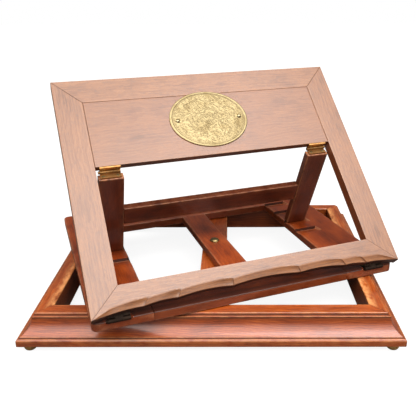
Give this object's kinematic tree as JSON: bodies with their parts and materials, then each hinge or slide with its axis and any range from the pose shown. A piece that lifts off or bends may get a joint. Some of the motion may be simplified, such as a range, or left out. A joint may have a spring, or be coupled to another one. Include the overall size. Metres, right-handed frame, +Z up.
{
  "type": "turning book and album stand",
  "caption": "Wooden tabletop stand: a tilting framed panel with a scalloped front edge on a turning frame, held up by a hinged prop over a moulded base.",
  "frame": {"origin": "middle of the stand's footprint box on the floor, a few millimetres in front of the swivel bolt's foot", "axes": "+X to the reader's right along the base's front, +Y away from the reader, +Z up"},
  "size_m": [0.4764, 0.442, 0.2803],
  "materials": {
    "polished_wood": "polished red-brown hardwood",
    "panel_wood": "satin red-brown hardwood, paler where it faces up",
    "board_wood": "satin red-brown hardwood",
    "prop_wood": "satin dark red-brown hardwood",
    "brass": "aged golden brass",
    "aged_brass": "dull browned brass"
  },
  "bodies": {
    "base": {"base_front_rail": "polished_wood", "base_back_rail": "polished_wood", "base_left_rail": "polished_wood", "base_right_rail": "polished_wood", "base_centre_bar": "polished_wood", "foot_front_left": "brass", "foot_front_right": "brass", "foot_back_left": "brass", "foot_back_right": "brass", "pivot_washer": "brass", "pivot_dome_nut": "brass", "pivot_bolt": "aged_brass"},
    "turntable": {"turntable_front_rail": "polished_wood", "turntable_back_rail": "polished_wood", "turntable_left_rail": "polished_wood", "turntable_right_rail": "polished_wood", "turntable_strut": "polished_wood", "front_hinge_left_lower_leaf": "aged_brass", "front_hinge_left_lower_screw_1": "brass", "front_hinge_left_lower_screw_2": "brass", "front_hinge_left_pin": "aged_brass", "front_hinge_right_lower_leaf": "aged_brass", "front_hinge_right_lower_screw_1": "brass", "front_hinge_right_lower_screw_2": "brass", "front_hinge_right_pin": "aged_brass"},
    "panel": {"panel_bottom_rail": "panel_wood", "panel_top_rail": "panel_wood", "panel_left_stile": "panel_wood", "panel_right_stile": "panel_wood", "panel_board": "board_wood", "plaque": "brass", "plaque_screw_left": "brass", "plaque_screw_right": "brass", "front_hinge_left_upper_leaf": "aged_brass", "front_hinge_left_upper_screw_1": "brass", "front_hinge_left_upper_screw_2": "brass", "prop_hinge_left_board_leaf": "aged_brass", "prop_hinge_left_board_screw_1": "brass", "prop_hinge_left_board_screw_2": "brass", "prop_hinge_left_pin": "aged_brass", "front_hinge_right_upper_leaf": "aged_brass", "front_hinge_right_upper_screw_1": "brass", "front_hinge_right_upper_screw_2": "brass", "prop_hinge_right_board_leaf": "aged_brass", "prop_hinge_right_board_screw_1": "brass", "prop_hinge_right_board_screw_2": "brass", "prop_hinge_right_pin": "aged_brass"},
    "prop": {"prop_left_leg": "prop_wood", "prop_right_leg": "prop_wood", "prop_cross_rail": "prop_wood", "prop_hinge_left_leg_leaf": "aged_brass", "prop_hinge_left_leg_screw_1": "brass", "prop_hinge_left_leg_screw_2": "brass", "prop_hinge_right_leg_leaf": "aged_brass", "prop_hinge_right_leg_screw_1": "brass", "prop_hinge_right_leg_screw_2": "brass"}
  },
  "joints": [
    {"name": "swivel", "type": "hinge", "parent": "base", "child": "turntable", "pos_m": [0.00017, -0.00287, 0.0429], "axis": [0, 0, 1], "continuous": true},
    {"name": "panel_tilt", "type": "hinge", "parent": "turntable", "child": "panel", "pos_m": [0.05393, -0.14221, 0.0551], "axis": [0.933, 0.36, 0], "range_deg": [0, 46.2]},
    {"name": "prop_swing", "type": "hinge", "parent": "panel", "child": "prop", "pos_m": [0.00832, -0.02398, 0.18244], "axis": [0.933, 0.36, 0], "range_deg": [-70.2, 0]}
  ],
  "couplings": [
    {"joint": "prop_swing", "follows": "panel_tilt", "ratio": -1.519}
  ]
}
